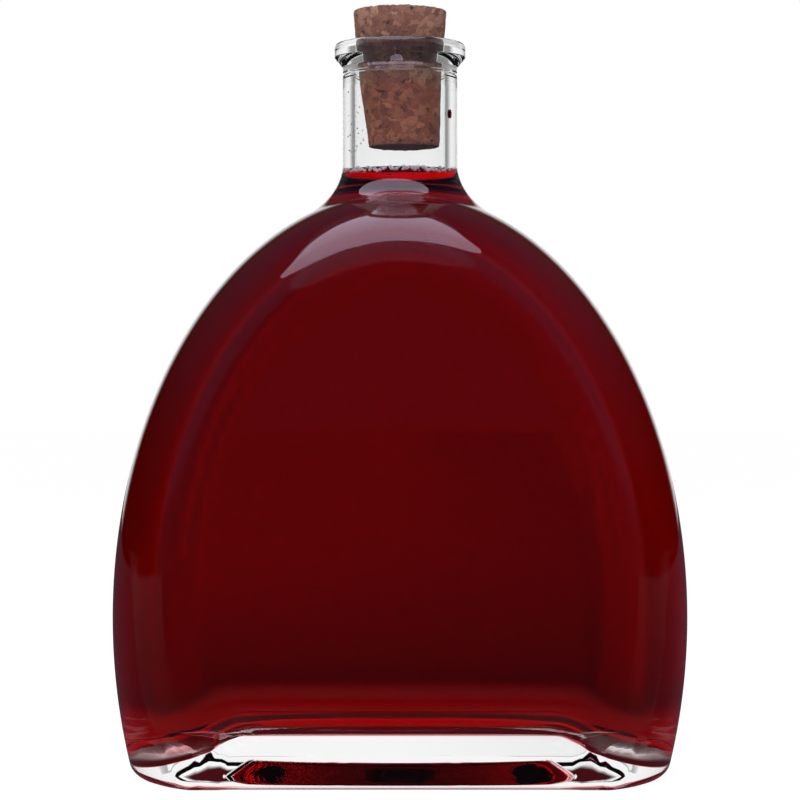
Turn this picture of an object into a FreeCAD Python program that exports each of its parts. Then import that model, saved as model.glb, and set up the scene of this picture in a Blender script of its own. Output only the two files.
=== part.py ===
import FreeCAD, Part
import math
import os
import Sketcher

# Corked glass bottle: a flat arched body with a round neck, the liquid in it and its stopper.
# Millimetres. X is the width, Y the depth (the front faces -Y), Z is up, and the bottle stands on Z = 0.

DIMENSIONS = {
    "body_width": 122.2,       # widest, at wide_level
    "body_depth": 60.0,        # over the front and back faces, before the panels are sunk
    "wide_level": 33.2,        # height of the widest level
    "arch_rise": 90.5,         # from the widest level to the crown that the neck hides
    "border_width": 18.4,      # rounded border beside the flat face, where that is widest
    "border_drop": 17.0,       # rounded border above the flat face
    "face_level": 38.0,        # height where the flat face is widest
    "face_turn": 70.0,         # part of the border's quarter ellipse that is kept, in degrees
    "crest_radius": 10.0,      # rounding between the border and the flat face
    "heel_radius": 2.5,        # rounding of the foot
    "neck_flare": 14.0,        # hollow radius between the shoulder and the neck
    "neck_rise": 31.7,         # from that hidden crown to the top of the lip
    "lip_reach": 1.75,         # how far the lip stands out from the neck
    "lip_height": 3.1,         # straight band of the lip with its rounded upper edge
    "lip_bevel": 2.1,          # height of the slope under the lip
    "lip_rounding": 1.1,
    "seam_drop": 1.0,          # from that slope down to the groove of the mould seam
    "seam_height": 0.8,
    "seam_depth": 0.3,
    "panel_inset": 4.2,        # from the flat face's side to the sunk panel where it runs out at the foot
    "spring_inset": 5.5,       # the same at the spring of the panel's pointed arch
    "panel_peak": 0.9,         # how far the point passes the top of the flat face
    "spring_drop": 32.2,       # from the point down to that spring
    "panel_side_radius": 113.0,
    "panel_crown_radius": 61.0,
    "panel_band": 4.4,         # width of the slope round the panel
    "panel_sink": 0.9,         # depth of the panel
    "panel_wall": 3.2,         # glass behind the panel
    "side_wall": 3.4,          # glass at the widest level
    "crown_wall": 3.2,         # glass at the shoulder
    "neck_wall": 1.95,
    "bore_relief": 0.8,        # how much wider the neck's bore is than the mouth, on each side
    "mouth_bore": 19.0,        # standard 19 mm cork mouth
    "mouth_land": 3.5,         # straight length of that bore under its rounded edge
    "mouth_taper": 5.0,        # height over which the mouth opens to the neck's own bore
    "mouth_rounding": 1.0,
    "floor_level": 3.2,        # lowest lines of the inside, in the two end hollows
    "hump_level": 10.4,        # height of the inside over the push-up
    "end_hollow": 12.7,        # from the inner side to the lowest line of the hollow at that end
    "hump_slope": 25.0,        # from that line to the level top of the hump
    "corner_rise": 45.0,       # height of the rounded inner corner at each end
    "corner_cover": 0.5,       # how far that corner's curve passes the inner side
    "inner_edge": 6.0,         # rounding of the inside along its floor
    "push_up": 4.0,            # depth of the hollow under the base
    "push_up_end": 23.1,       # from the body's widest to the push-up, at each end
    "push_up_side": 14.0,      # from the face to the push-up, at the front and back
    "push_up_draft": 7.0,      # run of the push-up's sloping edge
    "headspace": 5.7,          # between the liquid and the cork
    "film_gap": 0.05,          # kept between the liquid and the glass
    "cork_length": 29.6,
    "cork_stand": 7.2,         # height of the cork above the lip
    "cork_taper": 0.0825,      # growth in radius for each millimetre of height
    "cork_gap": 0.1,           # between the cork and the mouth
    "cork_chamfer": 0.5,
}

SECTIONS = 9                   # ellipses in each arched form
OUTSIDE = "100"                # reach of the trimming sketches past the bottle
TOUCH = 1e-3                   # how near an edge lies to the place that picks it

doc = FreeCAD.newDocument("bottle")
sheet = doc.addObject("Spreadsheet::Sheet", "Dimensions")
for row, (alias, value) in enumerate(DIMENSIONS.items(), start=1):
    sheet.set(f"A{row}", alias)
    sheet.set(f"B{row}", str(value))
    sheet.setAlias(f"B{row}", alias)
doc.recompute()


def size(text):
    """Expression over the sheet: @ before an alias stands for the sheet's name."""
    return text.replace("@", "Dimensions.")


def number(text):
    """Present value of such an expression."""
    value = sheet.evalExpression(size(text))
    return float(getattr(value, "Value", value))


def new_body(name):
    body = doc.addObject("PartDesign::Body", name)
    body.Label = name
    return body


def origin_plane(body, role):
    return next(feature for feature in body.Origin.OriginFeatures if feature.Role == role)


def new_sketch(body, name, role, offset="0"):
    """Empty sketch on one of the body's origin planes, moved along the plane's normal."""
    sketch = body.newObject("Sketcher::SketchObject", name)
    sketch.AttachmentSupport = [(origin_plane(body, role), "")]
    sketch.MapMode = "FlatFace"
    sketch.setExpression("AttachmentOffset.Base.z", size(offset))
    return sketch


def drive(sketch, constraint, name, text):
    """Add a constraint and bind its value to the sheet."""
    sketch.renameConstraint(sketch.addConstraint(constraint), name)
    sketch.setExpression(f"Constraints.{name}", size(text))


def pin_point(sketch, geometry, end, name, x, y):
    """Bind one point of a sketch to its two coordinates."""
    for kind, axis, text in (("DistanceX", -2, x), ("DistanceY", -1, y)):
        value = number(text)
        label = f"{name}_{kind[-1]}"
        if text == "0":
            sketch.addConstraint(Sketcher.Constraint("PointOnObject", geometry, end, axis))
        elif value > 0:
            drive(sketch, Sketcher.Constraint(kind, -1, 1, geometry, end, value), label, text)
        else:
            drive(sketch, Sketcher.Constraint(kind, geometry, end, -1, 1, -value), label, f"-({text})")


def draw_ellipse(sketch, across, along, x="0", y="0", upright=True):
    """Ellipse with its longer axis upright or level. Its seam lies at the lower or left end."""
    middle = FreeCAD.Vector(number(x), number(y), 0)
    lower = FreeCAD.Vector(0, -number(along) / 2, 0)
    right = FreeCAD.Vector(number(across) / 2, 0, 0)
    ends = (lower, right) if upright else (-right, lower)
    oval = sketch.addGeometry(Part.Ellipse(middle + ends[0], middle + ends[1], middle), False)
    sketch.exposeInternalGeometry(oval)
    longer, shorter = oval + 1, oval + 2
    sketch.addConstraint(Sketcher.Constraint("Vertical" if upright else "Horizontal", longer))
    pin_point(sketch, oval, 3, "middle", x, y)
    level, plumb = (shorter, longer) if upright else (longer, shorter)
    drive(sketch, Sketcher.Constraint("Distance", level, number(across)), "across", across)
    drive(sketch, Sketcher.Constraint("Distance", plumb, number(along)), "along", along)


def circle_side(start, end, radius):
    """Arc from start to end, which swells to the right, or to the left where the radius is negative."""
    chord = end - start
    swell = abs(radius) - (radius ** 2 - chord.Length ** 2 / 4) ** 0.5
    across = FreeCAD.Vector(chord.y, -chord.x, 0).normalize() * math.copysign(swell, radius)
    crest = (start + end) / 2 + across
    return Part.ArcOfCircle(start, crest, end) if radius > 0 else Part.ArcOfCircle(end, crest, start)


def oval_side(start, end, middle):
    """Quarter of an upright ellipse in the lower half: falling from its left end or rising to its right."""
    falling = start.y > end.y
    low, wide = (end, start) if falling else (start, end)
    right = middle + FreeCAD.Vector(abs(wide.x - middle.x), 0, 0)
    first = 1.5 * math.pi if falling else 0
    return Part.ArcOfEllipse(Part.Ellipse(low, right, middle), first, first + 0.5 * math.pi)


def draw_outline(sketch, corners, arcs=None, ovals=None):
    """Closed outline through corners given as expressions. arcs gives a side's radius by the side's number,
    with a minus where the side swells to the left of its direction. ovals gives the middle of a side that is
    a quarter of an upright ellipse."""
    arcs, ovals = arcs or {}, ovals or {}
    points = [FreeCAD.Vector(number(x), number(y), 0) for x, y in corners]
    sides = []
    for step, start in enumerate(points):
        end = points[(step + 1) % len(points)]
        forward = True
        if step in arcs:
            radius = number(arcs[step])
            forward = radius > 0
            curve = circle_side(start, end, radius)
        elif step in ovals:
            curve = oval_side(start, end, FreeCAD.Vector(*(number(text) for text in ovals[step]), 0))
        else:
            curve = Part.LineSegment(start, end)
        side = sketch.addGeometry(curve, False)
        sides.append((side, 1, 2) if forward else (side, 2, 1))
        if step in ovals:
            sketch.exposeInternalGeometry(side)
            sketch.addConstraint(Sketcher.Constraint("Vertical", side + 1))
            pin_point(sketch, side, 3, f"middle{step}", *ovals[step])
    for step, (side, first, last) in enumerate(sides):
        after, after_first, _ = sides[(step + 1) % len(sides)]
        sketch.addConstraint(Sketcher.Constraint("Coincident", side, last, after, after_first))
        pin_point(sketch, side, first, f"corner{step}", *corners[step])
        if step in arcs:
            radius = f"abs({arcs[step]})"
            drive(sketch, Sketcher.Constraint("Radius", side, number(radius)), f"arc{step}", radius)


def loft(body, kind, name, sketches):
    feature = body.newObject(f"PartDesign::{kind}", name)
    feature.Profile = sketches[0]
    feature.Sections = sketches[1:]
    return feature


def cut_through(body, name, sketch):
    """Pocket both ways through the whole body."""
    feature = body.newObject("PartDesign::Pocket", name)
    feature.Profile = sketch
    feature.Type = "ThroughAll"
    feature.Midplane = True
    return feature


def turn_profile(body, name, corners, arcs=None):
    """Revolution of a half profile about the bottle's axis."""
    sketch = new_sketch(body, name + "_profile", "XZ_Plane")
    draw_outline(sketch, corners, arcs)
    feature = body.newObject("PartDesign::Revolution", name)
    feature.Profile = sketch
    feature.ReferenceAxis = (sketch, ["V_Axis"])
    feature.Angle = 360
    return feature


def round_edges(body, base, name, radius, wanted):
    """Fillet on the edges of a feature that a test picks out."""
    doc.recompute()
    names = [f"Edge{place}" for place, edge in enumerate(base.Shape.Edges, start=1) if wanted(edge)]
    feature = body.newObject("PartDesign::Fillet", name)
    feature.Base = (base, names)
    feature.setExpression("Radius", size(radius))
    return feature


def all_points(edge, test):
    return all(test(point) for point in edge.discretize(9))


def ring_at(radius, low):
    """Test for the edges that circle the axis at one radius, above a height and below the lip."""
    reach, bottom, top = number(radius), number(low), number(SEAM_LOW)
    return lambda edge: all_points(
        edge, lambda p: abs(math.hypot(p.x, p.y) - reach) < TOUCH and bottom < p.z < top)


CROWN = "(@wide_level + @arch_rise)"
FACE_WIDTH = "(@body_width - 2 * @border_width)"
FACE_RISE = f"({CROWN} - @border_drop - @face_level)"
MOUTH = "@mouth_bore / 2"
BORE = f"{MOUTH} + @bore_relief"
NECK = f"{BORE} + @neck_wall"
LIP = f"{NECK} + @lip_reach"
LIP_TOP = f"{CROWN} + @neck_rise"
LIP_LOW = f"{LIP_TOP} - @lip_height"
BEVEL_LOW = f"{LIP_LOW} - @lip_bevel"
SEAM_HIGH = f"{BEVEL_LOW} - @seam_drop"
SEAM_LOW = f"{SEAM_HIGH} - @seam_height"
MOUTH_EDGE = f"{LIP_TOP} - @mouth_rounding"
PANEL_TOP = f"{CROWN} - @border_drop + @panel_peak"
SPRING_LEVEL = f"{PANEL_TOP} - @spring_drop"
CORK_TOP = f"{LIP_TOP} + @cork_stand"
CORK_BOTTOM = f"{CORK_TOP} - @cork_length"


def arched_form(body, depth, width, rise, face_width, face_rise):
    """Pillow with two flat faces: ellipses from the back face to the front one, through the widest one. The
    border between the widest ellipse and a face is a quarter ellipse that the flat face cuts short."""
    sections = []
    for step in range(SECTIONS):
        turn = f"(@face_turn * {2 * step / (SECTIONS - 1) - 1} * 1 deg)"
        share = f"cos({turn})"
        sketch = new_sketch(body, f"section{step}", "XZ_Plane",
                            f"{depth} / 2 * sin({turn}) / sin(@face_turn * 1 deg)")
        draw_ellipse(sketch,
                     f"{face_width} + ({width} - {face_width}) * {share}",
                     f"2 * ({face_rise} + ({rise} - {face_rise}) * {share})",
                     y=f"@face_level + (@wide_level - @face_level) * {share}")
        sections.append(sketch)
    pillow = loft(body, "AdditiveLoft", "pillow", sections)
    face = number(depth) / 2
    return round_edges(body, pillow, "crest", "@crest_radius",
                       lambda edge: all_points(edge, lambda p: abs(abs(p.y) - face) < TOUCH))


def panel_sketch(body, name, depth, inset):
    """Pointed arch of the sunk panel, carried down past the foot, at one depth and inset."""
    foot = f"{FACE_WIDTH} / 2 - @panel_inset - {inset}"
    spring = f"{FACE_WIDTH} / 2 - @spring_inset - {inset}"
    side, crown = f"-(@panel_side_radius - {inset})", f"-(@panel_crown_radius - {inset})"
    sketch = new_sketch(body, name, "XZ_Plane", depth)
    draw_outline(sketch, [
        (f"-({foot})", f"-{OUTSIDE}"), (f"-({foot})", "0"), (f"-({spring})", SPRING_LEVEL),
        ("0", f"{PANEL_TOP} - {inset}"), (spring, SPRING_LEVEL), (foot, "0"), (foot, f"-{OUTSIDE}")],
        {1: side, 2: crown, 3: crown, 4: side})
    return sketch


def sink_panels(body):
    """Sloping cut of the front panel, and its mirror image at the back."""
    face = "@body_depth / 2"
    front = loft(body, "SubtractiveLoft", "front_panel", [
        panel_sketch(body, "panel_edge", face, "0"),
        panel_sketch(body, "panel_bed", f"{face} - @panel_sink", "@panel_band")])
    doc.recompute()
    back = body.newObject("PartDesign::Mirrored", "back_panel")
    back.Originals = [front]
    back.MirrorPlane = (origin_plane(body, "XZ_Plane"), [""])
    body.Tip = back


def outer_form():
    """Outside of the glass, still solid."""
    body = new_body("outside")
    arched_form(body, "@body_depth", "@body_width", "@arch_rise", FACE_WIDTH, FACE_RISE)
    below = new_sketch(body, "below_foot", "XZ_Plane")
    draw_outline(below, [(f"-{OUTSIDE}", "0"), (f"-{OUTSIDE}", f"-{OUTSIDE}"), (OUTSIDE, f"-{OUTSIDE}"),
                         (OUTSIDE, "0")])
    foot = cut_through(body, "foot", below)
    round_edges(body, foot, "heel", "@heel_radius", lambda edge: all_points(edge, lambda p: abs(p.z) < TOUCH))
    groove = f"{NECK} - @seam_depth"
    neck = turn_profile(body, "neck_and_lip", [
        ("0", SPRING_LEVEL), (NECK, SPRING_LEVEL), (NECK, SEAM_LOW), (groove, f"{SEAM_LOW} + @seam_depth"),
        (groove, f"{SEAM_HIGH} - @seam_depth"), (NECK, SEAM_HIGH), (NECK, BEVEL_LOW), (LIP, LIP_LOW),
        (LIP, f"{LIP_TOP} - @lip_rounding"), (f"{LIP} - @lip_rounding", LIP_TOP), ("0", LIP_TOP)],
        {8: "@lip_rounding"})
    round_edges(body, neck, "flare", "@neck_flare", ring_at(NECK, PANEL_TOP))
    sink_panels(body)
    width, depth = "(@body_width - 2 * @push_up_end)", "(@body_depth - 2 * @push_up_side)"
    edge = new_sketch(body, "push_up_edge", "XY_Plane")
    draw_ellipse(edge, width, depth, upright=False)
    roof = new_sketch(body, "push_up_roof", "XY_Plane", "@push_up")
    draw_ellipse(roof, f"{width} - 2 * @push_up_draft", f"{depth} - 2 * @push_up_draft", upright=False)
    loft(body, "SubtractiveLoft", "push_up", [edge, roof])
    return body


def floor_cut(body, gap, half_width):
    """Cut the form off along its floor: a hump over the push-up, a hollow at each end, rounded corners."""
    low, high = f"(@floor_level + {gap})", f"(@hump_level + {gap})"
    hollow = "(@body_width / 2 - @side_wall - @end_hollow)"
    hump = f"({hollow} - @hump_slope)"
    side, top = f"({half_width} + @corner_cover)", f"{low} + @corner_rise"
    half_x, half_z = f"({hollow} + {hump}) / 2", f"({low} + {high}) / 2"
    bend = f"((({hollow} - {hump}) ^ 2 + ({high} - {low}) ^ 2) / (4 * ({high} - {low})))"
    sketch = new_sketch(body, "floor_line", "XZ_Plane")
    draw_outline(sketch, [
        (f"-{side}", top), (f"-{hollow}", low), (f"-{half_x}", half_z), (f"-{hump}", high), (hump, high),
        (half_x, half_z), (hollow, low), (side, top), (OUTSIDE, top), (OUTSIDE, f"-{OUTSIDE}"),
        (f"-{OUTSIDE}", f"-{OUTSIDE}"), (f"-{OUTSIDE}", top)],
        {1: bend, 2: f"-{bend}", 4: f"-{bend}", 5: bend},
        {0: (f"-{hollow}", top), 6: (hollow, top)})
    return cut_through(body, "inner_floor", sketch)


def floor_rim(base):
    """Test for the edges where the floor meets the walls."""
    doc.recompute()

    def is_floor(face):
        upright = face.Surface.TypeId == "Part::GeomPlane" and abs(face.normalAt(0, 0).z) < TOUCH
        return not upright and "BSpline" not in face.Surface.TypeId

    def wanted(edge):
        return sorted(map(is_floor, base.Shape.ancestorsOfType(edge, Part.Face))) == [False, True]
    return wanted


def inner_form(name, gap):
    """Inside of the glass up to the mouth, drawn in by a gap all round."""
    body = new_body(name)
    depth = f"(@body_depth - 2 * (@panel_sink + @panel_wall + {gap}))"
    width = f"(@body_width - 2 * (@side_wall + {gap}))"
    bore, mouth = f"{BORE} - {gap}", f"{MOUTH} - {gap}"
    arched_form(body, depth, width, f"(@arch_rise - @crown_wall - {gap})",
                f"({FACE_WIDTH} - 2 * (@side_wall + {gap}))", f"({FACE_RISE} - @crown_wall - {gap})")
    base = floor_cut(body, gap, f"{width} / 2")
    round_edges(body, base, "floor_edge", "@inner_edge", floor_rim(base))
    land_low = f"{MOUTH_EDGE} - @mouth_land"
    above = f"{LIP_TOP} + @mouth_rounding"
    neck = turn_profile(body, "neck_bore", [
        ("0", SPRING_LEVEL), (bore, SPRING_LEVEL), (bore, f"{land_low} - @mouth_taper"), (mouth, land_low),
        (mouth, MOUTH_EDGE), (f"{mouth} + @mouth_rounding", LIP_TOP), (f"{mouth} + @mouth_rounding", above),
        ("0", above)], {4: "-@mouth_rounding"})
    round_edges(body, neck, "inner_flare", "@neck_flare + @neck_wall", ring_at(bore, PANEL_TOP))
    return body


def glass_bottle():
    """One piece of glass: the outside less the inside."""
    glass = doc.addObject("Part::Cut", "glass_bottle")
    glass.Label = "glass_bottle"
    glass.Base = outer_form()
    glass.Tool = inner_form("inside", "0")
    return glass


def liquid_fill():
    """Contents of the bottle, level in the root of the neck."""
    body = inner_form("liquid_fill", "@film_gap")
    level = f"{CORK_BOTTOM} - @headspace"
    above = new_sketch(body, "above_level", "XZ_Plane")
    draw_outline(above, [(f"-{OUTSIDE}", level), (OUTSIDE, level),
                         (OUTSIDE, f"2 * {OUTSIDE}"), (f"-{OUTSIDE}", f"2 * {OUTSIDE}")])
    cut_through(body, "level", above)
    return body


def cork_stopper():
    """Tapered cork that seats on the edge of the mouth."""
    body = new_body("cork_stopper")

    def radius(height):
        return f"{MOUTH} - @cork_gap + @cork_taper * ({height} - ({MOUTH_EDGE}))"
    turn_profile(body, "cork", [
        ("0", CORK_BOTTOM), (f"{radius(CORK_BOTTOM)} - @cork_chamfer", CORK_BOTTOM),
        (radius(f"{CORK_BOTTOM} + @cork_chamfer"), f"{CORK_BOTTOM} + @cork_chamfer"),
        (radius(f"{CORK_TOP} - @cork_chamfer"), f"{CORK_TOP} - @cork_chamfer"),
        (f"{radius(CORK_TOP)} - @cork_chamfer", CORK_TOP), ("0", CORK_TOP)])
    return body


nodes = [glass_bottle(), liquid_fill(), cork_stopper()]
doc.recompute()
failed = [item.Name for item in doc.Objects if {"Invalid", "Error"} & set(item.State)]
if failed:
    raise RuntimeError(f"these objects failed: {failed}")
for node in nodes:
    if node.Shape.isNull() or not node.Shape.isValid() or len(node.Shape.Solids) != 1:
        raise RuntimeError(f"{node.Label} is not one sound solid")
os.makedirs("parts", exist_ok=True)
for node in nodes:
    node.Shape.exportStep(f"parts/{node.Label}.step")
    print(f"{node.Label}: {node.Shape.Volume / 1000:.2f} ml")
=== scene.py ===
"""Looks of the corked glass bottle: moulded clear glass, a red liquid and a cork of pressed granules."""
import math

import bpy
import numpy as np
from mathutils import Matrix, Vector, noise


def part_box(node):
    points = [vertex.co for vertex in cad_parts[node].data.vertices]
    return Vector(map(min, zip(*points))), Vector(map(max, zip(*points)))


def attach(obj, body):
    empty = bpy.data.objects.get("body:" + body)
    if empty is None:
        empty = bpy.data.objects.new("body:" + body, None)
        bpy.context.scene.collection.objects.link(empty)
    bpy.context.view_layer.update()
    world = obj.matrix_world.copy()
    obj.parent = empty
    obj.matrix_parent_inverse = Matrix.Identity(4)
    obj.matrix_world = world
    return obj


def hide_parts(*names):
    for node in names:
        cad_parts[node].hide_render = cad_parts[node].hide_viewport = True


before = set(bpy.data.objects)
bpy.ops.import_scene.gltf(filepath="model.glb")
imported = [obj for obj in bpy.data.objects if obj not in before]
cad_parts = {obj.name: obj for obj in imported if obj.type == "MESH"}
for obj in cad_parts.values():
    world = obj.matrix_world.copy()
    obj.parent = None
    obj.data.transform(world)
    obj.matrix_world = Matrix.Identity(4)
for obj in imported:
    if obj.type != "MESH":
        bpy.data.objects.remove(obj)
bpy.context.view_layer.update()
MM = 0.001

# Shape of the glass in millimetres. X is the width, Y the depth, and the front faces -Y. The sizes are those
# of the CAD, apart from the neck's bore and root and the inner floor, which follow the photo more closely.
GLASS_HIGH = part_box("glass_bottle")[1] / MM
LIQUID_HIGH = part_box("liquid_fill")[1] / MM
CORK_LOW, CORK_HIGH = (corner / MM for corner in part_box("cork_stopper"))
LIP_TOP = GLASS_HIGH.z
LEVEL = LIQUID_HIGH.z

# Body: flat faces and the border that swells round them.
HALF_DEPTH = GLASS_HIGH.y
HALF_WIDTH = 61.1
WIDE_LEVEL = 33.2
FACE_LEVEL = 38.0
ARCH_RISE = 90.5
BORDER_WIDTH = 18.4
BORDER_DROP = 17.0
FACE_SINE = math.sin(math.radians(70))
CREST = 1.55
HEEL = 2.5

# Neck, its flare at the shoulder, and the lip.
NECK_RADIUS = 12.25
NECK_FOOT = 60.0
NECK_FLARE = 7.5
BORE_RADIUS = 9.7
BORE_FLARE = 8.5
FRONT_FLARE = 4.0
MOUTH_RADIUS = 9.5
LIP_RADIUS = 14.0

# Thickness of the walls.
FACE_WALL = 4.1
SIDE_WALL = 3.4
CROWN_WALL = 3.2

# Sunk panel with a pointed arch, as (half width, height) points and the radii of the arcs between them.
PANEL_FOOT = (38.5, 0.0)
PANEL_SPRING = (37.2, 75.4)
PANEL_POINT = (0.0, 107.6)
PANEL_SIDE_RADIUS = 113.0
PANEL_CROWN_RADIUS = 61.0
PANEL_BAND = 4.4
PANEL_SINK = 0.9

# Hollow under the base.
PUSH_UP = 4.0
PUSH_UP_HALF_WIDTH = 38.0
PUSH_UP_HALF_DEPTH = 16.0
PUSH_UP_DRAFT = 7.0

# Inner floor: a hump in the middle, a hollow at each end and the tall corner beyond it.
FLOOR_HUMP = 10.0
FLOOR_HOLLOW = 3.2
HUMP_END = 32.0
HOLLOW_LINE = 48.0
CORNER_RISE = 45.0
CORNER_RUN = 13.2
FLOOR_EDGE = 12.0

# Search for the place where a ray leaves a form: how far it looks, in lengths of the ray, and its halvings.
RAY_REACH = 3.0
HALVINGS = 44
SLOPE_STEP = 0.01
TINY = 1e-6


def smooth(share):
    """Soft step from 0 to 1."""
    share = np.clip(share, 0, 1)
    return share * share * (3 - 2 * share)


def rounded_max(first, second, radius):
    """Distance to what two forms share, with a rounded edge."""
    corner = np.hypot(np.maximum(first + radius, 0), np.maximum(second + radius, 0))
    return np.minimum(np.maximum(first, second), -radius) + corner


def rounded_min(first, second, radius):
    """Distance to two forms together, with a hollow rounding between them."""
    return -rounded_max(-first, -second, radius)


class ArchedForm:
    """Pillow with two flat faces. Its border is a row of ellipses that swell to the middle plane."""

    def __init__(self, half_depth, side_wall, crown_wall):
        self.half_depth = half_depth
        self.face_width = HALF_WIDTH - BORDER_WIDTH - side_wall
        self.face_rise = WIDE_LEVEL + ARCH_RISE - BORDER_DROP - FACE_LEVEL - crown_wall
        self.swell_width = BORDER_WIDTH
        self.swell_rise = ARCH_RISE - crown_wall - self.face_rise

    def border(self, x, y, z):
        """Distance to the border, without the two faces that cut it short."""
        slant = np.clip(y / self.half_depth, -1, 1) * FACE_SINE
        share = np.sqrt(1 - slant ** 2)
        width = self.face_width + self.swell_width * share
        rise = self.face_rise + self.swell_rise * share
        sag = WIDE_LEVEL - FACE_LEVEL
        above = z - FACE_LEVEL - sag * share
        reach = np.maximum(np.hypot(x / width, above / rise), TINY)
        change = -slant * FACE_SINE / (self.half_depth * share)
        along_x = x / width ** 2
        along_z = above / rise ** 2
        widening = x ** 2 * self.swell_width / width ** 3
        rising = above ** 2 * self.swell_rise / rise ** 3 + above * sag / rise ** 2
        along_y = -change * (widening + rising)
        steepness = np.sqrt(along_x ** 2 + along_y ** 2 + along_z ** 2) / reach
        return (reach - 1) / np.maximum(steepness, TINY)


OUTER_FORM = ArchedForm(HALF_DEPTH, 0, 0)
INNER_FORM = ArchedForm(HALF_DEPTH - FACE_WALL, SIDE_WALL, CROWN_WALL)


def inside_arc(first, last, radius, x, z):
    """Distance inwards from an arc that goes up on the right and swells outwards."""
    chord = Vector((last[0] - first[0], last[1] - first[1]))
    middle = Vector(((first[0] + last[0]) / 2, (first[1] + last[1]) / 2))
    depth = math.sqrt(radius ** 2 - chord.length_squared / 4)
    centre = middle + Vector((-chord.y, chord.x)).normalized() * depth
    return radius - np.hypot(x - centre.x, z - centre.y)


def panel_sink(x, z):
    """Depth of the pointed-arch panel below the flat face."""
    across = np.abs(x)
    side = inside_arc(PANEL_FOOT, PANEL_SPRING, PANEL_SIDE_RADIUS, across, z)
    crown = inside_arc(PANEL_SPRING, PANEL_POINT, PANEL_CROWN_RADIUS, across, z)
    return PANEL_SINK * smooth(np.where(z > PANEL_SPRING[1], crown, side) / PANEL_BAND)


def push_up(x, y):
    """Height of the underside: a flat roof with sloping sides inside the bearing ring."""
    across, along = x / PUSH_UP_HALF_WIDTH, y / PUSH_UP_HALF_DEPTH
    reach = np.maximum(np.hypot(across, along), TINY)
    steepness = np.hypot(across / PUSH_UP_HALF_WIDTH, along / PUSH_UP_HALF_DEPTH) / reach
    inward = (1 - reach) / np.maximum(steepness, TINY)
    return PUSH_UP * smooth(inward / PUSH_UP_DRAFT)


def above_floor(x, z):
    """Distance below the inner floor, with its hump, and a hollow and a tall rounded corner at each end."""
    across = np.abs(x)
    slope_run = HOLLOW_LINE - HUMP_END
    share = np.clip((HOLLOW_LINE - across) / slope_run, 0, 1)
    hump = FLOOR_HOLLOW + (FLOOR_HUMP - FLOOR_HOLLOW) * smooth(share)
    steepness = (FLOOR_HUMP - FLOOR_HOLLOW) * 6 * share * (1 - share) / slope_run
    run = (across - HOLLOW_LINE) / CORNER_RUN
    rise = (FLOOR_HOLLOW + CORNER_RISE - z) / CORNER_RISE
    reach = np.maximum(np.hypot(run, rise), TINY)
    corner = (reach - 1) * reach / np.maximum(np.hypot(run / CORNER_RUN, rise / CORNER_RISE), TINY)
    floor = (hump - z) / np.sqrt(1 + steepness ** 2)
    return np.where((across > HOLLOW_LINE) & (rise > 0), corner, floor)


def neck_rounding(x, y, flare):
    """Rounding of the neck's root: wide at the sides, tight at the front and back."""
    return FRONT_FLARE + (flare - FRONT_FLARE) * x ** 2 / np.maximum(x ** 2 + y ** 2, TINY)


def outside(x, y, z):
    """Distance to the outside of the glass, without its lip."""
    face = np.abs(y) - HALF_DEPTH + panel_sink(x, z)
    body = rounded_max(OUTER_FORM.border(x, y, z), face, CREST)
    body = rounded_max(body, push_up(x, y) - z, HEEL)
    neck = np.maximum(np.hypot(x, y) - NECK_RADIUS, NECK_FOOT - z)
    return rounded_min(body, neck, neck_rounding(x, y, NECK_FLARE))


def inside(x, y, z):
    """Distance to the inside of the glass, without its mouth."""
    body = rounded_max(INNER_FORM.border(x, y, z), np.abs(y) - INNER_FORM.half_depth, CREST)
    body = rounded_max(body, above_floor(x, z), FLOOR_EDGE)
    bore = np.maximum(np.hypot(x, y) - BORE_RADIUS, NECK_FOOT - z)
    return rounded_min(body, bore, neck_rounding(x, y, BORE_FLARE))


def gradient(field, points):
    """Outward direction of a distance at some points."""
    slopes = []
    for axis in np.eye(3) * SLOPE_STEP:
        slopes.append(field(*(points + axis).T) - field(*(points - axis).T))
    normals = np.array(slopes).T
    return normals / np.linalg.norm(normals, axis=1, keepdims=True)


def cast(field, origins, directions):
    """Points where rays that start inside a form leave it."""
    near = np.zeros(len(origins))
    far = np.full(len(origins), RAY_REACH)
    for _ in range(HALVINGS):
        middle = (near + far) / 2
        within = field(*(origins + directions * middle[:, None]).T) < 0
        near = np.where(within, middle, near)
        far = np.where(within, far, middle)
    return origins + directions * far[:, None]


def section_turns(count):
    """Directions round the axis that divide the section of the body evenly."""
    level = 50.0
    fine_count = 4096
    turns = np.linspace(0, 2 * math.pi, fine_count, endpoint=False)
    directions = np.stack([np.cos(turns), np.sin(turns), np.zeros_like(turns)], axis=1) * HALF_WIDTH
    points = cast(outside, np.tile((0, 0, level), (fine_count, 1)), directions)
    steps = np.linalg.norm(np.roll(points, -1, axis=0) - points, axis=1)
    travel = np.concatenate([[0], np.cumsum(steps)])
    wanted = np.arange(count) * travel[-1] / count
    return np.interp(wanted, travel, np.append(turns, 2 * math.pi))


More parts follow.
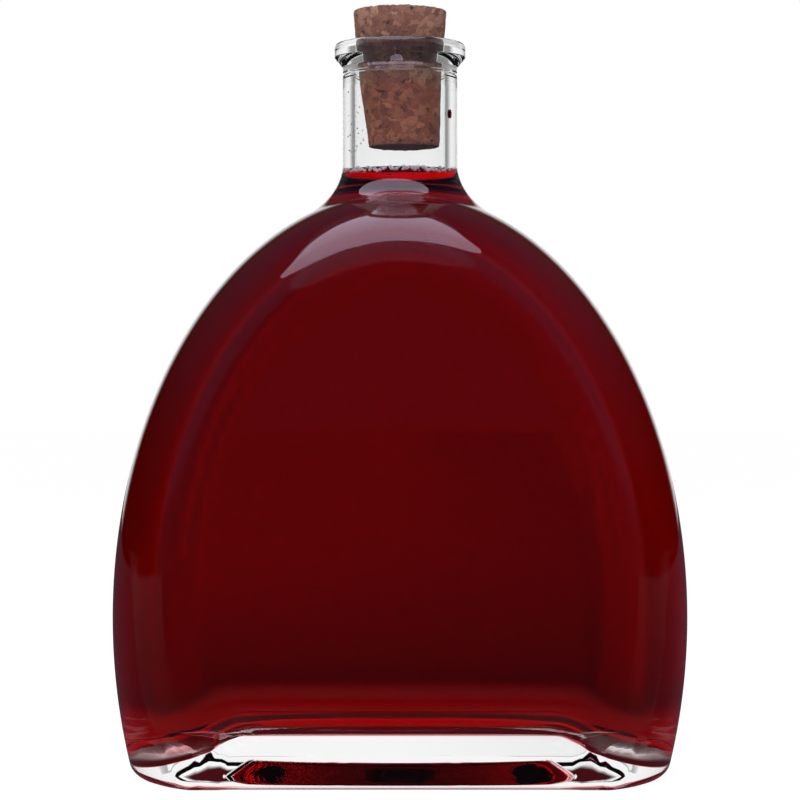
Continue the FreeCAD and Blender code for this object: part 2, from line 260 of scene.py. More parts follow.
class RingSurface:
    """Closed surface of rings round the axis, with a pole at each end and its own exact normals. Rings are
    added in stretches, each with the number of its material."""

    def __init__(self, turns):
        self.turns = turns
        self.outline = np.stack([np.cos(turns), np.sin(turns)], axis=1)
        self.points, self.normals, self.materials, self.poles = [], [], [], []

    def add_levels(self, field, levels, material=0, facing=1):
        """Rings at some heights, on a form that is met along level rays."""
        targets = self.outline * HALF_WIDTH
        self.add_rays(field, [(level, targets, level) for level in levels], material, facing)

    def add_rays(self, field, rings, material=0, facing=1):
        """Rings on a form, each met by rays from a height of the axis towards targets at another height.
        facing is -1 on the lining of a hollow."""
        count = len(self.turns)
        eyes = np.repeat([eye for eye, _, _ in rings], count)
        heights = np.repeat([height for _, _, height in rings], count)
        across = np.concatenate([targets for _, targets, _ in rings])
        directions = np.column_stack([across, heights - eyes])
        origins = np.column_stack([np.zeros((len(eyes), 2)), eyes])
        points = cast(field, origins, directions)
        self.add_rings(points, gradient(field, points) * facing, material)

    def add_rings(self, points, normals, material):
        """Whole rings, by their points and normals."""
        rings = len(points) // len(self.turns)
        self.points.append(points)
        self.normals.append(normals)
        self.materials.extend([material] * rings)

    def add_circles(self, profile, material=0):
        """Rings along a round profile of (radius, height), whose right side is outside."""
        profile = np.array(profile)
        run = np.gradient(profile, axis=0)
        run /= np.linalg.norm(run, axis=1, keepdims=True)
        for (radius, height), (out, up) in zip(profile, run):
            points = np.column_stack([self.outline * radius, np.full(len(self.turns), height)])
            normals = np.column_stack([self.outline * up, np.full(len(self.turns), -out)])
            self.add_rings(points, normals, material)

    def add_pole(self, height, up):
        """Closing point on the axis, that faces up (1) or down (-1)."""
        self.poles.append(((0, 0, height), (0, 0, up)))

    def mesh(self, name):
        """Blender mesh of the rings in the order that they were added, from the first pole to the last."""
        count, rings = len(self.turns), len(self.materials)
        points = np.concatenate(self.points + [np.array([place for place, _ in self.poles])]) * MM
        normals = np.concatenate(self.normals + [np.array([normal for _, normal in self.poles])])
        here = np.arange(count)
        beside = (here + 1) % count
        first, last, end = rings * count, rings * count + 1, (rings - 1) * count
        faces = np.stack([beside, here, np.full(count, first)], axis=1).tolist()
        for low in range(0, end, count):
            high = low + count
            quads = np.stack([low + here, low + beside, high + beside, high + here], axis=1)
            faces.extend(quads.tolist())
        faces.extend(np.stack([end + here, end + beside, np.full(count, last)], axis=1).tolist())
        mesh = bpy.data.meshes.new(name)
        mesh.from_pydata(points.tolist(), [], faces)
        slots = np.repeat(self.materials + self.materials[-1:], count)
        mesh.polygons.foreach_set("material_index", slots)
        mesh.shade_smooth()
        mesh.normals_split_custom_set_from_vertices(normals.tolist())
        return mesh


def steps(*stretches):
    """Heights along stretches of (start, end, spacing), each without its end."""
    heights = []
    for start, end, spacing in stretches:
        count = max(1, round(abs(end - start) / spacing))
        heights.extend(start + (end - start) * np.arange(count) / count)
    return heights


def rounded_profile(corners, pieces=5):
    """Points of a profile whose corners are (radius from the axis, height, rounding)."""
    points = []
    for place, (radius, height, rounding) in enumerate(corners):
        corner = Vector((radius, height))
        if rounding == 0:
            points.append(corner)
            continue
        before = (Vector(corners[place - 1][:2]) - corner).normalized()
        after = (Vector(corners[place + 1][:2]) - corner).normalized()
        reach = rounding / math.tan(before.angle(after) / 2)
        start, end = corner + before * reach, corner + after * reach
        for step in range(pieces + 1):
            share = step / pieces
            bend = corner * 2 * share * (1 - share)
            points.append(start * (1 - share) ** 2 + bend + end * share ** 2)
    return [tuple(point) for point in points]


def foot_outline(surface, field, level):
    """Plan of a form at a height near its foot, for rays that go down to its base."""
    count = len(surface.turns)
    directions = np.column_stack([surface.outline * HALF_WIDTH, np.zeros(count)])
    return cast(field, np.tile((0.0, 0.0, level), (count, 1)), directions)[:, :2]


def new_piece(name, mesh, body, node, slot, *materials):
    """Finished piece that rides on a body and shows in place of a node of the CAD, if it has one."""
    piece = bpy.data.objects.new(name, mesh)
    bpy.context.scene.collection.objects.link(piece)
    for material in materials:
        mesh.materials.append(material)
    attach(piece, body)
    if node:
        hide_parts(node)


class Tone:
    """A socket of a node tree, so that shader maths reads as a Python expression."""

    def __init__(self, finish, socket):
        self.finish = finish
        self.socket = socket

    def math(self, operation, first, second=None):
        inputs = {0: first} if second is None else {0: first, 1: second}
        return self.finish.node("Math", {"operation": operation}, inputs)

    def __add__(self, other):
        return self.math("ADD", self, other)

    def __sub__(self, other):
        return self.math("SUBTRACT", self, other)

    def __mul__(self, other):
        return self.math("MULTIPLY", self, other)

    def __truediv__(self, other):
        return self.math("DIVIDE", self, other)

    def __rsub__(self, other):
        return self.math("SUBTRACT", other, self)

    __radd__ = __add__
    __rmul__ = __mul__


class Finish:
    """Node tree under construction, for a material or the world."""

    def __init__(self, owner):
        owner.use_nodes = True
        self.owner = owner
        self.tree = owner.node_tree
        self.tree.nodes.clear()

    def node(self, kind, settings=None, inputs=None, output=0):
        """New node with its settings, then the values or links of its sockets. Gives one output."""
        made = self.tree.nodes.new("ShaderNode" + kind)
        for name, value in (settings or {}).items():
            if name == "stops":
                self.set_stops(made.color_ramp, value)
            else:
                setattr(made, name, value)
        for name, value in (inputs or {}).items():
            if isinstance(value, Tone):
                self.tree.links.new(value.socket, made.inputs[name])
            else:
                made.inputs[name].default_value = value
        return Tone(self, made.outputs[output]) if len(made.outputs) else made

    @staticmethod
    def set_stops(ramp, stops):
        while len(ramp.elements) < len(stops):
            ramp.elements.new(0.5)
        for element, (place, colour) in zip(ramp.elements, stops):
            element.position = place
            element.color = (*colour, 1)

    def ramp(self, value, low, high):
        """Soft share of a value between two limits."""
        return self.node("MapRange", {"interpolation_type": "SMOOTHSTEP"},
                         {"Value": value, "From Min": low, "From Max": high})

    def mix(self, share, first, second, blend="MIX"):
        """Colour between two colours."""
        settings = {"data_type": "RGBA", "blend_type": blend}
        return self.node("Mix", settings, {0: share, 6: first, 7: second}, output=2)


def new_finish(name):
    return Finish(bpy.data.materials.new(name))


def clear_glass(name, index):
    """Moulded glass: colourless, with the slight waves of its mould. The index is that of the glass against
    what touches it."""
    finish = new_finish(name)
    place = finish.node("TexCoord", output=3)
    waves = finish.node("TexNoise", None, {"Vector": place, "Scale": 42.0, "Detail": 1.0})
    bump = finish.node("Bump", None, {"Height": waves, "Strength": 0.05, "Distance": 0.001})
    shader = finish.node("BsdfPrincipled", None, {
        "Base Color": (0.985, 0.993, 0.99, 1), "Roughness": 0.0, "IOR": index,
        "Transmission Weight": 1.0, "Normal": bump})
    finish.node("OutputMaterial", None, {"Surface": shader})
    return finish.owner


def red_liquid():
    """Clear deep red liquid: orange-red where it is thin, almost black-red through the body. The wetted glass
    and the level bend the light that enters it, so its own index is 1."""
    finish = new_finish("red_liquid")
    shader = finish.node("BsdfPrincipled", None, {
        "Base Color": (1, 1, 1, 1), "Roughness": 0.0, "IOR": 1.0, "Transmission Weight": 1.0})
    colour = finish.node("VolumeAbsorption", None, {
        "Color": (0.945, 0.0, 0.08, 1), "Density": 780.0})
    finish.node("OutputMaterial", None, {"Surface": shader, "Volume": colour})
    return finish.owner


def liquid_face(name, index):
    """Clear face of the liquid, with the index of what lies under it."""
    finish = new_finish(name)
    shader = finish.node("BsdfPrincipled", None, {
        "Base Color": (1, 1, 1, 1), "Roughness": 0.0, "IOR": index, "Transmission Weight": 1.0})
    finish.node("OutputMaterial", None, {"Surface": shader})
    return finish.owner


def pressed_cork():
    """Agglomerate cork: ragged chips in close browns with dark pits. It is redder where the liquid has wetted
    it, has a band of painted shade where the lip closes round it, and is grey at its foot."""
    gap_tone = (0.09, 0.04, 0.028, 1)
    pit_tone = (0.035, 0.016, 0.014, 1)
    foot_tone = (0.10, 0.075, 0.07, 1)
    wet_tint = (1.16, 0.74, 0.64, 1)
    # Tint of the painted shade where the lip closes round the cork.
    lip_shade_tint = (0.32, 0.27, 0.36, 1)
    finish = new_finish("pressed_cork")
    place = finish.node("TexCoord", output=3)
    level = finish.node("SeparateXYZ", None, {0: place}, output=2)
    ragged = finish.node("TexNoise", None, {
        "Vector": place, "Scale": 480.0, "Detail": 3.0, "Roughness": 0.6}, output=1)
    bent = finish.node("VectorMath", {"operation": "MULTIPLY_ADD"}, {
        0: ragged, 1: (0.003, 0.003, 0.003), 2: place})
    grain = finish.node("TexNoise", None, {
        "Vector": place, "Scale": 1500.0, "Detail": 4.0, "Roughness": 0.7})
    tone, seam = cork_chips(finish, bent, (0.3, 0.5, 0.2), (2.2, 1.0, 0.9), 700.0)
    upper, _ = cork_chips(finish, bent, (0.2, -0.8, 0.6), (2.6, 1.0, 0.8), 580.0)
    chosen = finish.ramp(upper, 0.48, 0.52)
    tone = tone + (upper * 2.0 - 1.0 - tone) * chosen
    granule = finish.node("ValToRGB", {"stops": [
        (0.0, (0.115, 0.050, 0.034)), (0.3, (0.215, 0.097, 0.058)), (0.6, (0.275, 0.138, 0.081)),
        (1.0, (0.40, 0.24, 0.145))]}, {"Fac": tone * 0.8 + grain * 0.6 - 0.2})
    gaps = finish.ramp(grain, 0.42, 0.62) * (seam * 0.7)
    spots = finish.node("TexNoise", None, {"Vector": bent, "Scale": 620.0, "Detail": 1.0})
    pits = finish.ramp(spots, 0.66, 0.73)
    wet = 1 - finish.ramp(level, 0.1450, 0.1485)
    # Painted shade: the band of the cork inside the lip is darkened, where the lip keeps the light out.
    lip_shade = finish.ramp(level, 0.1498, 0.1508) * (1 - finish.ramp(level, 0.1542, 0.1552))
    foot = (1 - finish.ramp(level, 0.1331, 0.1339)) * 0.8
    colour = finish.mix(gaps, granule, gap_tone)
    colour = finish.mix(pits * 0.85, colour, pit_tone)
    colour = finish.mix(wet, colour, wet_tint, "MULTIPLY")
    colour = finish.mix(lip_shade, colour, lip_shade_tint, "MULTIPLY")
    colour = finish.mix(foot, colour, foot_tone)
    relief = tone * 0.5 + grain * 0.5 - pits - gaps
    bump = finish.node("Bump", None, {"Height": relief, "Strength": 0.5, "Distance": 0.0004})
    shader = finish.node("BsdfPrincipled", None, {"Base Color": colour, "Roughness": 0.85, "Normal": bump})
    finish.node("OutputMaterial", None, {"Surface": shader})
    return finish.owner


def cork_chips(finish, place, turn, stretch, scale):
    """Tone of each chip in a layer of long chips, and the share of the dark seam between them."""
    along = finish.node("Mapping", {"vector_type": "TEXTURE"}, {
        "Vector": place, "Rotation": turn, "Scale": stretch})
    cells = finish.node("TexVoronoi", None, {"Vector": along, "Scale": scale}, output=1)
    edges = finish.node("TexVoronoi", {"feature": "DISTANCE_TO_EDGE"}, {"Vector": along, "Scale": scale})
    seam = 1 - finish.ramp(edges, 0.0, 0.09)
    return finish.node("SeparateColor", None, {"Color": cells}), seam


# Rays to the base start at BASE_EYE on the axis. Above SHOULDER the form turns into the neck, and its rings
# are closer. SEAM_RADIUS is the bottom of the mould's groove round the neck.
TURNS = section_turns(224)
BASE_EYE = 30.0
SHOULDER = 106.0
SEAM_RADIUS = 11.95

# Slots of the second material on the glass and on the level.
WETTED = 1
LEVEL_FACE = 1

# Curved rim of the liquid at the glass, how far the liquid reaches into the glass, and the skin of its level.
MENISCUS_RISE = 1.1
MENISCUS_REACH = 1.1
LIQUID_RIM = LEVEL + MENISCUS_RISE
LIQUID_OVERLAP = 0.05
SKIN = 0.04

# Profile of the neck's seam, the lip and the mouth, as (radius, height, rounding).
LIP_CORNERS = [
    (NECK_RADIUS, 147.6, 0), (NECK_RADIUS, 148.4, 0.15), (SEAM_RADIUS, 148.65, 0.12),
    (SEAM_RADIUS, 148.95, 0.12), (NECK_RADIUS, 149.2, 0.15), (NECK_RADIUS, 150.2, 0.25),
    (LIP_RADIUS, 152.3, 0.5), (LIP_RADIUS, LIP_TOP, 1.2), (MOUTH_RADIUS, LIP_TOP, 1.1),
    (MOUTH_RADIUS, 150.9, 0.8), (BORE_RADIUS, 145.9, 0.8), (BORE_RADIUS, 144.6, 0)]


def bottle_glass():
    """Glass from the middle of the underside, up the outside, over the lip and down to the inner floor."""
    surface = RingSurface(TURNS)
    foot = foot_outline(surface, outside, 4.0)
    heel = ((0.975, 0.0), (0.99, 0.05), (1.0, 0.3), (1.0, 0.8), (1.0, 1.4), (1.0, 2.1))
    under = steps((0.03, 0.36, 0.06), (0.36, 0.72, 0.018), (0.72, 0.97, 0.025))
    surface.add_pole(PUSH_UP, -1)
    surface.add_rays(outside, [(BASE_EYE, foot * share, 0.0) for share in under])
    surface.add_rays(outside, [(BASE_EYE, foot * share, height) for share, height in heel])
    surface.add_levels(outside, steps((3.0, 62.0, 1.6), (62.0, SHOULDER, 1.1), (SHOULDER, 126.0, 0.34),
                                      (126.0, 147.2, 0.75)))
    surface.add_circles(rounded_profile(LIP_CORNERS))
    surface.add_levels(inside, steps((144.0, LIQUID_RIM, 0.9)) + [LIQUID_RIM], facing=-1)
    wetted_levels = steps((LIQUID_RIM - 0.4, SHOULDER, 0.42), (SHOULDER, BASE_EYE, 1.7))
    surface.add_levels(inside, wetted_levels, WETTED, -1)
    surface.add_rays(inside, floor_rings(foot_outline(surface, inside, BASE_EYE)), WETTED, -1)
    surface.add_pole(FLOOR_HUMP, 1)
    return surface.mesh("bottle_glass")


def floor_rings(plan):
    """Rays from the wall down over the corners and in along the inner floor."""
    corner = [(BASE_EYE, plan, height) for height in steps((BASE_EYE - 1.5, 9.0, 1.5))]
    shares = steps((1.0, 0.55, 0.025), (0.55, 0.03, 0.045))
    return corner + [(BASE_EYE, plan * share, FLOOR_HOLLOW) for share in shares]


def wetted(x, y, z):
    """Inside of the glass, reaching a little into its wall so that no air is left between."""
    return inside(x, y, z) - LIQUID_OVERLAP


def liquid_body():
    """Liquid from its floor up to the edge of its level, with the curved rim where it wets the glass."""
    surface = RingSurface(section_turns(176))
    surface.add_pole(FLOOR_HUMP - LIQUID_OVERLAP, -1)
    surface.add_rays(wetted, floor_rings(foot_outline(surface, wetted, BASE_EYE))[::-1])
    levels = steps((BASE_EYE, SHOULDER, 1.9), (SHOULDER, LIQUID_RIM, 0.5))
    surface.add_levels(wetted, levels + [LIQUID_RIM])
    surface.add_circles(level_profile(2 * SKIN)[1:])
    surface.add_pole(LEVEL - 2 * SKIN, 1)
    return surface.mesh("liquid_body")


def level_profile(depth):
    """Level of the liquid, or a face at a depth below it, from the wall inwards with its curved rim."""
    edge = cast(wetted, np.array([[0, 0, LIQUID_RIM]]), np.array([[HALF_WIDTH, 0, 0]]))
    wall = np.hypot(*edge[0, :2])
    profile = []
    for inset in (0.0, 0.08, 0.25, 0.5, 0.8, 1.2, 1.7, 2.4, 3.4, 5.0, 7.0, 9.0):
        rise = MENISCUS_RISE * math.exp(-inset / MENISCUS_REACH)
        profile.append((wall - inset, LEVEL + rise - depth))
    return profile


def liquid_level():
    """Upper face of the liquid, as a skin that bends the light on top and lets it pass below."""
    surface = RingSurface(np.linspace(0, 2 * math.pi, 96, endpoint=False))
    surface.add_pole(LEVEL - SKIN, -1)
    surface.add_circles(level_profile(SKIN)[::-1])
    surface.add_circles(level_profile(0.0), LEVEL_FACE)
    surface.add_pole(LEVEL, 1)
    return surface.mesh("liquid_level")


# Cork: its taper, its lean below the mouth, the spacing of its rings and the relief of its chips.
CORK_BASE_RADIUS = 7.62
CORK_TAPER = 0.0825
CORK_SEGMENTS = 180
CORK_LEAN = 0.85
CORK_LEAN_TOP = LIP_TOP - 4.5
CORK_LEAN_RUN = 18.0
CORK_POLE_RADIUS = 0.4
CORK_POLE_DEPTH = 0.3
CORK_SPACING = 0.3
CHIP = 2.4
PIT_DEPTH = 0.35
CORK_SEED = 5


def cork_relief(point):
    """Depth of the skin at a place in millimetres, from chips at different heights, pits and worn edges."""
    place = Vector(point)
    bent = place + noise.noise_vector(place * 0.45) * 1.2
    distances, centres = noise.voronoi(bent / CHIP)
    fine = 0.5 + 0.5 * noise.noise(place * 2.2)
    pitted = float(noise.cell(centres[0] * 7.0) > 0.3)
    pit = pitted * (1 - float(smooth(distances[0] / 0.28)))
    edge = 1 - float(smooth(min(place.z - CORK_LOW.z, CORK_HIGH.z - place.z) / 1.3))
    chip = 0.05 + 0.05 * noise.cell(centres[0] * 3.0)
    return chip + (0.08 + 0.3 * edge) * fine + PIT_DEPTH * pit


def cork_body():
    """Tapered cork with worn edges, that leans a little towards its foot."""
    low, high = CORK_LOW.z, CORK_HIGH.z
    top_radius = CORK_BASE_RADIUS + CORK_TAPER * (high - low)
    corners = [(CORK_POLE_RADIUS, low, 0), (CORK_BASE_RADIUS, low, 0.4), (top_radius, high, 0.5),
               (CORK_POLE_RADIUS, high, 0)]
    edges = np.array(rounded_profile(corners, 6))
    profile = []
    for start, end in zip(edges, edges[1:]):
        count = max(1, round(math.dist(start, end) / CORK_SPACING))
        profile.extend(start + (end - start) * step / count for step in range(count))
    surface = RingSurface(np.linspace(0, 2 * math.pi, CORK_SEGMENTS, endpoint=False))
    surface.add_pole(low + CORK_POLE_DEPTH, -1)
    surface.add_circles(profile)
    surface.add_pole(high - CORK_POLE_DEPTH, 1)
    # Without a seed of its own, the noise that bends the chips takes one from the clock.
    noise.seed_set(CORK_SEED)
    for places, normals in zip(surface.points, surface.normals):
        for place, normal in zip(places, normals):
            place -= normal * cork_relief(place)
            place[0] += CORK_LEAN * smooth((CORK_LEAN_TOP - place[2]) / CORK_LEAN_RUN)
    mesh = surface.mesh("cork_body")
    mesh.normals_split_custom_set_from_vertices([(0, 0, 0)] * len(mesh.vertices))
    return mesh


# Froth along the edge of the liquid and drops above it, strewn over bands of (radius, height) round the axis.
BAND_STEPS = 72
FOAM_BAND = [(BORE_RADIUS - 0.1, LEVEL + 0.2), (BORE_RADIUS + 0.1, LEVEL + 1.1)]
DROP_BAND = [(BORE_RADIUS + 0.05, 130.5), (BORE_RADIUS + 0.05, 145.0)]

# Red drop on the inside of the neck, by its bearing from the front in degrees.
RED_DROP_BEARING = 70.0
RED_DROP_LEVEL = 140.0
RED_DROP_REACH = BORE_RADIUS + 0.3
RED_DROP_RADIUS = 0.42
RED_DROP_HALF = 0.95


def tree_node(tree, kind, links):
    """New geometry node whose inputs, by name or number, are linked to other sockets or set to a value."""
    node = tree.nodes.new(kind)
    for name, source in links.items():
        if isinstance(source, bpy.types.NodeSocket):
            tree.links.new(source, node.inputs[name])
        else:
            node.inputs[name].default_value = source
    return node


def bead_tree():
    """Geometry nodes that strew round beads of mixed sizes over a face."""
    tree = bpy.data.node_groups.new("beads", "GeometryNodeTree")
    kinds = {"Geometry": "Geometry", "Density": "Float", "Smallest": "Float", "Largest": "Float",
             "Seed": "Int", "Finish": "Material"}
    for name, kind in kinds.items():
        tree.interface.new_socket(name, in_out="INPUT", socket_type="NodeSocket" + kind)
    tree.interface.new_socket("Geometry", in_out="OUTPUT", socket_type="NodeSocketGeometry")
    given = tree.nodes.new("NodeGroupInput").outputs
    spots = tree_node(tree, "GeometryNodeDistributePointsOnFaces", {
        "Mesh": given["Geometry"], "Density": given["Density"], "Seed": given["Seed"]})
    sizes = tree_node(tree, "FunctionNodeRandomValue", {
        2: given["Smallest"], 3: given["Largest"], "Seed": given["Seed"]})
    ball = tree_node(tree, "GeometryNodeMeshUVSphere", {"Segments": 10, "Rings": 6, "Radius": 1.0})
    beads = tree_node(tree, "GeometryNodeInstanceOnPoints", {
        "Points": spots.outputs["Points"], "Instance": ball.outputs["Mesh"], "Scale": sizes.outputs[1]})
    real = tree_node(tree, "GeometryNodeRealizeInstances", {"Geometry": beads.outputs[0]})
    soft = tree_node(tree, "GeometryNodeSetShadeSmooth", {0: real.outputs[0]})
    done = tree_node(tree, "GeometryNodeSetMaterial", {
        "Geometry": soft.outputs[0], "Material": given["Finish"]})
    tree_node(tree, "NodeGroupOutput", {0: done.outputs[0]})
    return tree


def strewn_beads(name, tree, carrier, values):
    """Plain mesh of the beads that the nodes strew over a carrier."""
    holder = bpy.data.objects.new(name, carrier)
    bpy.context.scene.collection.objects.link(holder)
    modifier = holder.modifiers.new("beads", "NODES")
    modifier.node_group = tree
    for socket in tree.interface.items_tree:
        if socket.in_out == "INPUT" and socket.name in values:
            modifier[socket.identifier] = values[socket.name]
    graph = bpy.context.evaluated_depsgraph_get()
    mesh = bpy.data.meshes.new_from_object(holder.evaluated_get(graph))
    bpy.data.objects.remove(holder)
    bpy.data.meshes.remove(carrier)
    return mesh


def band(name, profile, first, last):
    """Strip of faces round the axis, through (radius, height) points, between two bearings in degrees."""
    turns = np.radians(np.linspace(first, last, BAND_STEPS + 1))
    row = len(turns)
    points, faces = [], []
    for radius, height in profile:
        for turn in turns:
            points.append((radius * math.sin(turn) * MM, -radius * math.cos(turn) * MM, height * MM))
    for start in range(0, row * (len(profile) - 1), row):
        for place in range(start, start + BAND_STEPS):
            faces.append((place, place + 1, place + row + 1, place + row))
    mesh = bpy.data.meshes.new(name)
    mesh.from_pydata(points, [], faces)
    return mesh


def clear_drop(name, colour, clear):
    """Drop or bubble of the liquid. The less clear it is, the whiter its froth."""
    finish = new_finish(name)
    place = finish.node("TexCoord", output=3)
    waves = finish.node("TexNoise", None, {"Vector": place, "Scale": 900.0})
    bump = finish.node("Bump", None, {"Height": waves, "Strength": 0.2, "Distance": 0.0002})
    shader = finish.node("BsdfPrincipled", None, {
        "Base Color": colour, "Roughness": 0.02, "IOR": 1.33, "Transmission Weight": clear,
        "Normal": bump})
    finish.node("OutputMaterial", None, {"Surface": shader})
    return finish.owner


def hanging_drop():
    """Red drop that runs down the inside of the neck at the right."""
    surface = RingSurface(np.linspace(0, 2 * math.pi, 20, endpoint=False))
    outline = []
    for turn in np.linspace(0.3, math.pi - 0.3, 9):
        outline.append((RED_DROP_RADIUS * math.sin(turn) ** 0.8, -RED_DROP_HALF * math.cos(turn)))
    surface.add_pole(-RED_DROP_HALF, -1)
    surface.add_circles(outline)
    surface.add_pole(RED_DROP_HALF, 1)
    mesh = surface.mesh("red_drop")
    bearing = math.radians(RED_DROP_BEARING)
    place = Vector((RED_DROP_REACH * math.sin(bearing), -RED_DROP_REACH * math.cos(bearing), RED_DROP_LEVEL))
    mesh.transform(Matrix.Translation(place * MM))
    return mesh


BEADS = bead_tree()
GLASS_INDEX = 1.52
LIQUID_INDEX = 1.35
new_piece("bottle_glass", bottle_glass(), "bottle", "glass_bottle", "glass",
          clear_glass("moulded_glass", GLASS_INDEX),
          clear_glass("wetted_glass", GLASS_INDEX / LIQUID_INDEX))
new_piece("liquid_body", liquid_body(), "bottle", "liquid_fill", "liquid", red_liquid())
new_piece("liquid_level", liquid_level(), "bottle", None, "liquid",
          liquid_face("liquid_under_level", 1.0), liquid_face("liquid_level", LIQUID_INDEX))
new_piece("cork_body", cork_body(), "cork", "cork_stopper", "cork", pressed_cork())
new_piece("foam_ring", strewn_beads("foam_ring", BEADS, band("foam_band", FOAM_BAND, 0, 360), {
    "Density": 3.4e6, "Smallest": 0.00014, "Largest": 0.00048, "Seed": 4,
    "Finish": clear_drop("foam_bubble", (1.0, 0.92, 0.94, 1), 0.35)}), "bottle", None, "liquid")
new_piece("neck_drops", strewn_beads("neck_drops", BEADS, band("drop_band", DROP_BAND, -76, -44), {
    "Density": 0.5e6, "Smallest": 0.00006, "Largest": 0.00022, "Seed": 7,
    "Finish": clear_drop("neck_drop", (1.0, 0.86, 0.88, 1), 0.9)}), "bottle", None, "liquid")
new_piece("red_drop", hanging_drop(), "bottle", None, "liquid",
          clear_drop("red_drop", (0.22, 0.0, 0.012, 1), 0.6))


# Brightness of what mirrors in the glass: the white backdrop, the room round it and the floor.
BACKDROP_LIGHT = 0.75
SIDE_LIGHT = 0.13
INNER_LIGHT = 0.12
UPPER_FRONT_LIGHT = 0.08
FRONT_LIGHT = 0.05
CEILING_LIGHT = 0.07
AMBIENT_LIGHT = 0.45
FLOOR_LIGHT = 0.045
ROOM_TINT = (0.95, 0.72, 1.4, 1)
WHITE = (1, 1, 1, 1)

# Floor: its size in metres, how it is seen directly, and the red light under the bottle.
FLOOR_RADIUS = 6.0
FLOOR_SIDES = 64
FLOOR_SEEN = 1.06
FLOOR_SEEN_SHARE = 0.9
FLOOR_MATT = (0.85, 0.85, 0.85, 1)
FLOOR_TINT = (1.0, 0.75, 1.1, 1)
FOOT_TONE = (0.06, 0.004, 0.006, 1)
FOOT_HALF_WIDTH = 0.055
FOOT_HALF_DEPTH = 0.026


def ray_kinds(finish):
    """Shares of light that is seen directly, straight through the glass, after a reflection inside the
    glass, and in its outer face."""
    path = finish.node("LightPath").socket.node
    camera = Tone(finish, path.outputs["Is Camera Ray"])
    glossy = Tone(finish, path.outputs["Is Glossy Ray"])
    reflected = camera.math("MINIMUM", Tone(finish, path.outputs["Glossy Depth"]), 1.0)
    entered = camera.math("MINIMUM", Tone(finish, path.outputs["Transmission Depth"]), 1.0)
    straight = camera.math("MAXIMUM", glossy - reflected, 0.0)
    mirrored = reflected * glossy
    return camera, straight, mirrored * entered, mirrored * (1 - entered)


def studio_world():
    """White for what is seen directly or straight through the glass. What mirrors in the bottle is a white
    backdrop in a dim room."""
    world = bpy.data.worlds.new("studio")
    bpy.context.scene.world = world
    finish = Finish(world)
    camera, straight, inner, outer = ray_kinds(finish)
    direction = finish.node("SeparateXYZ", None, {0: finish.node("TexCoord")}).socket.node
    ahead = Tone(finish, direction.outputs["Y"])
    above = Tone(finish, direction.outputs["Z"])
    low = 1 - finish.ramp(above, 0.25, 0.55) * 0.8
    screen = finish.ramp(ahead, 0.62, 0.88) * low * BACKDROP_LIGHT
    backdrop = screen + finish.ramp(ahead, -0.4, 0.2) * SIDE_LIGHT + INNER_LIGHT
    upper = finish.ramp(above, 0.03, 0.12) * UPPER_FRONT_LIGHT
    front = finish.ramp(0 - ahead, 0.3, 0.9) * (upper + FRONT_LIGHT)
    room = front + finish.ramp(above, 0.1, 0.7) * CEILING_LIGHT
    mirror = finish.ramp(ahead, 0.90, 0.97) + room
    ambient = 1 - camera - straight - inner - outer
    strength = camera + straight + inner * backdrop + outer * mirror + ambient * AMBIENT_LIGHT
    tint = finish.mix(outer * (1 - finish.ramp(ahead, 0.7, 0.9)), WHITE, ROOM_TINT)
    background = finish.node("Background", None, {"Color": tint, "Strength": strength})
    finish.node("OutputWorld", None, {"Surface": background})


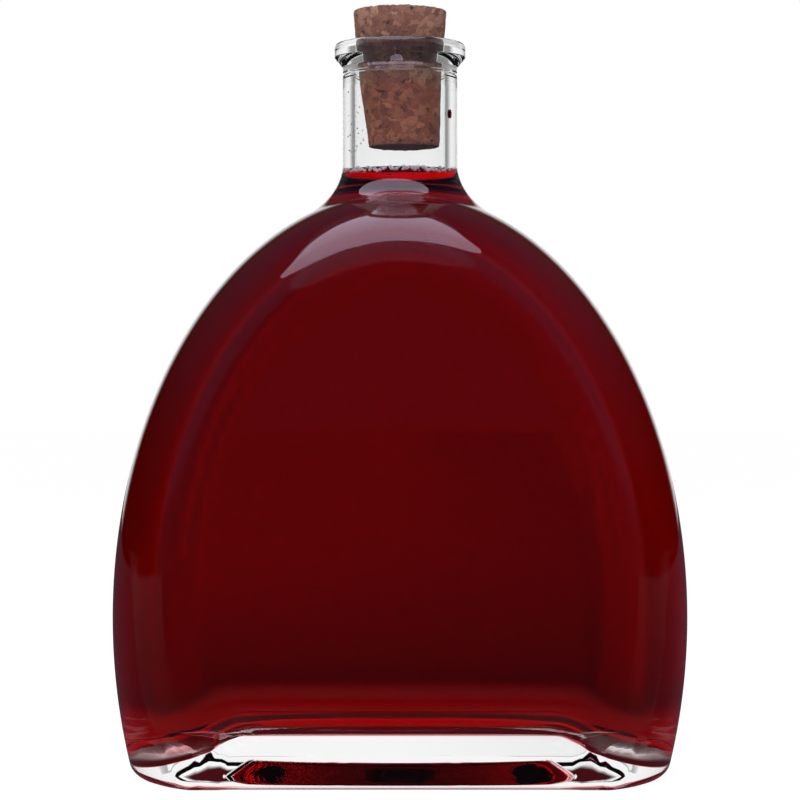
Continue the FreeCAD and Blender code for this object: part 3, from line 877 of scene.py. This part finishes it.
def pale_floor():
    """Floor that fades into the white behind it. Under the bottle it has the red of the light that comes down
    through the liquid."""
    mesh = bpy.data.meshes.new("floor")
    turns = np.linspace(0, 2 * math.pi, FLOOR_SIDES, False)
    ring = [(FLOOR_RADIUS * math.cos(turn), FLOOR_RADIUS * math.sin(turn), 0) for turn in turns]
    mesh.from_pydata(ring, [], [list(range(FLOOR_SIDES))])
    floor = bpy.data.objects.new("floor", mesh)
    bpy.context.scene.collection.objects.link(floor)
    finish = new_finish("pale_floor")
    camera, straight, inner, outer = ray_kinds(finish)
    place = finish.node("TexCoord", output=3)
    across = finish.node("SeparateXYZ", None, {0: place})
    along = finish.node("SeparateXYZ", None, {0: place}, output=1)
    distance = finish.node("VectorMath", {"operation": "LENGTH"}, {0: place}, output=1)
    # Painted shade and light on the floor as seen through the glass: dark just behind the bottle, lighter
    # further off, and brighter on the left side.
    fall = finish.ramp(distance, 0.07, 0.15) * distance.math("EXPONENT", distance / -0.38)
    slant = 1.2 - finish.ramp(across, -0.15, 0.15) * 0.4
    shade = across.math("MINIMUM", (1 - fall * 0.85) * slant, 1.0)
    footprint = finish.node("VectorMath", {"operation": "MULTIPLY"}, {
        0: place, 1: (1 / FOOT_HALF_WIDTH, 1 / FOOT_HALF_DEPTH, 0)})
    reach = finish.node("VectorMath", {"operation": "LENGTH"}, {0: footprint}, output=1)
    under = (1 - finish.ramp(reach, 0.85, 1.1)) * (straight + inner)
    colour = finish.mix(outer, finish.mix(under, WHITE, FOOT_TONE), FLOOR_TINT)
    behind = finish.ramp(along, -0.12, -0.03)
    glow = camera * FLOOR_SEEN + straight * shade + inner * behind * shade + outer * FLOOR_LIGHT
    matt = finish.node("BsdfDiffuse", None, {"Color": FLOOR_MATT})
    white = finish.node("Emission", None, {"Color": colour, "Strength": glow})
    share = camera * FLOOR_SEEN_SHARE + straight + inner + outer
    shader = finish.node("MixShader", None, {0: share, 1: matt, 2: white})
    finish.node("OutputMaterial", None, {"Surface": shader})
    mesh.materials.append(finish.owner)


def soft_box(name, place, aim, width, height, radiance, colour):
    """Rounded area lamp that looks at a point, given by the brightness of its face."""
    lamp = bpy.data.lights.new(name, "AREA")
    lamp.shape = "ELLIPSE"
    lamp.size, lamp.size_y = width, height
    lamp.color = colour
    lamp.energy = radiance * math.pi ** 2 / 4 * width * height
    holder = bpy.data.objects.new(name, lamp)
    holder.location = place
    holder.rotation_euler = (Vector(aim) - Vector(place)).to_track_quat("-Z", "Y").to_euler()
    bpy.context.scene.collection.objects.link(holder)


def camera_view():
    """Camera level with the middle of the body, square to its front."""
    data = bpy.data.cameras.new("view")
    data.sensor_width = 36.0
    data.lens = 117.9
    view = bpy.data.objects.new("view", data)
    view.location = (0.0, -0.560, 0.0793)
    view.rotation_euler = (math.radians(90), 0, 0)
    bpy.context.scene.collection.objects.link(view)
    bpy.context.scene.camera = view


studio_world()
pale_floor()
soft_box("overhead_softbox", place=(-0.10, -0.40, 0.72), aim=(-0.10, -0.40, 0.0), width=0.90, height=1.44,
         radiance=2.8, colour=(1.0, 0.86, 1.1))
camera_view()
bpy.context.scene.view_settings.view_transform = "Standard"
